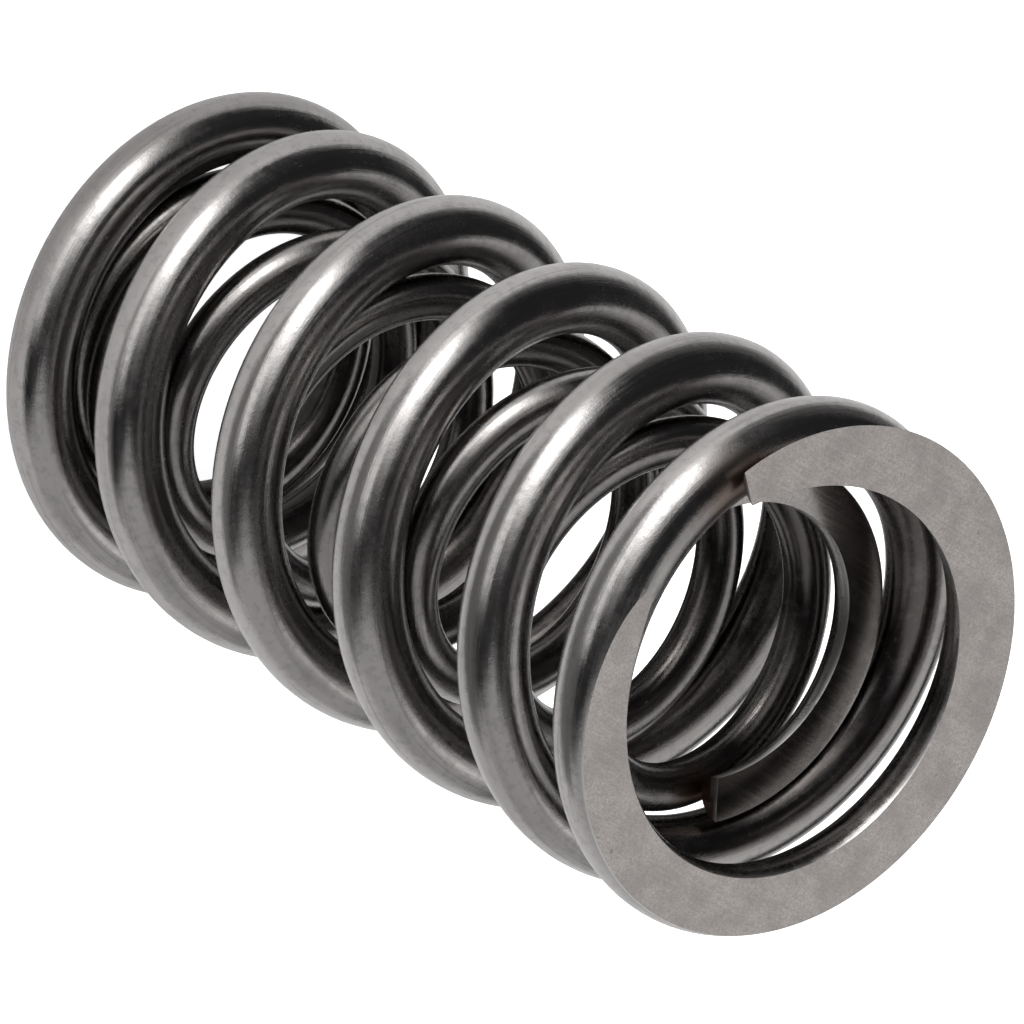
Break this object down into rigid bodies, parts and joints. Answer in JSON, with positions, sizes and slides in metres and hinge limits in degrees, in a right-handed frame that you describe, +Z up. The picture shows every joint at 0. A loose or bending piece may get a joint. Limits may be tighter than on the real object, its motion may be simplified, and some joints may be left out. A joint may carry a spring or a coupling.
{
  "type": "engine valve spring",
  "caption": "Nested engine valve spring: a round-wire compression coil with a thinner coil of the other hand in its bore, with closed and flat-ground ends.",
  "frame": {"origin": "middle of the base plane, on the coils' common axis, where both lower ground ends stand", "axes": "+Z up along the coils' common axis; +X and +Y lie in the base plane, with the outer coil's upper wire end at 126.1 degrees clockwise from +X as seen from above"},
  "size_m": [0.036, 0.036, 0.0675],
  "materials": {
    "outer_steel": "polished wire, matte ground ends",
    "inner_steel": "polished wire, matte ground ends"
  },
  "bodies": {
    "root": {"outer_spring": "outer_steel", "inner_spring": "inner_steel"}
  },
  "joints": []
}
